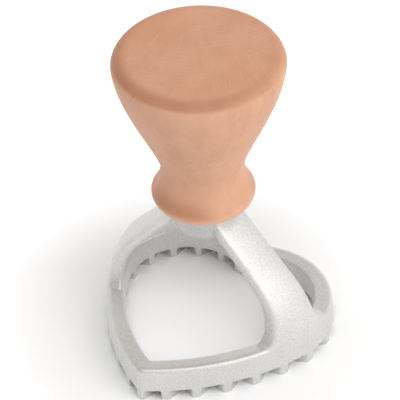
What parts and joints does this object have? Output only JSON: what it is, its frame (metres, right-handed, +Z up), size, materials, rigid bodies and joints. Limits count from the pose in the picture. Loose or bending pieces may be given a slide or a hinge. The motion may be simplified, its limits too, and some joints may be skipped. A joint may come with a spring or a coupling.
{
  "type": "ravioli cutter",
  "caption": "Heart-shaped ravioli cutter: a cast aluminium ring with zigzag cutting teeth and two arms that rise to a turned wooden knob, pressed down by hand to cut and seal filled pasta.",
  "frame": {"origin": "under the middle of the heart, on the plane of the tooth tips", "axes": "+Z up along the handle, +Y from the heart's point to its cleft, +X to the right arm"},
  "size_m": [0.069, 0.0666, 0.0994],
  "materials": {
    "cast_aluminium": "as cast, fine matte grain",
    "beech": "turned and sanded, satin",
    "steel": "zinc plated"
  },
  "bodies": {
    "root": {"cutter_casting": "cast_aluminium", "handle_knob": "beech", "handle_screw": "steel", "screw_washer": "steel"}
  },
  "joints": []
}
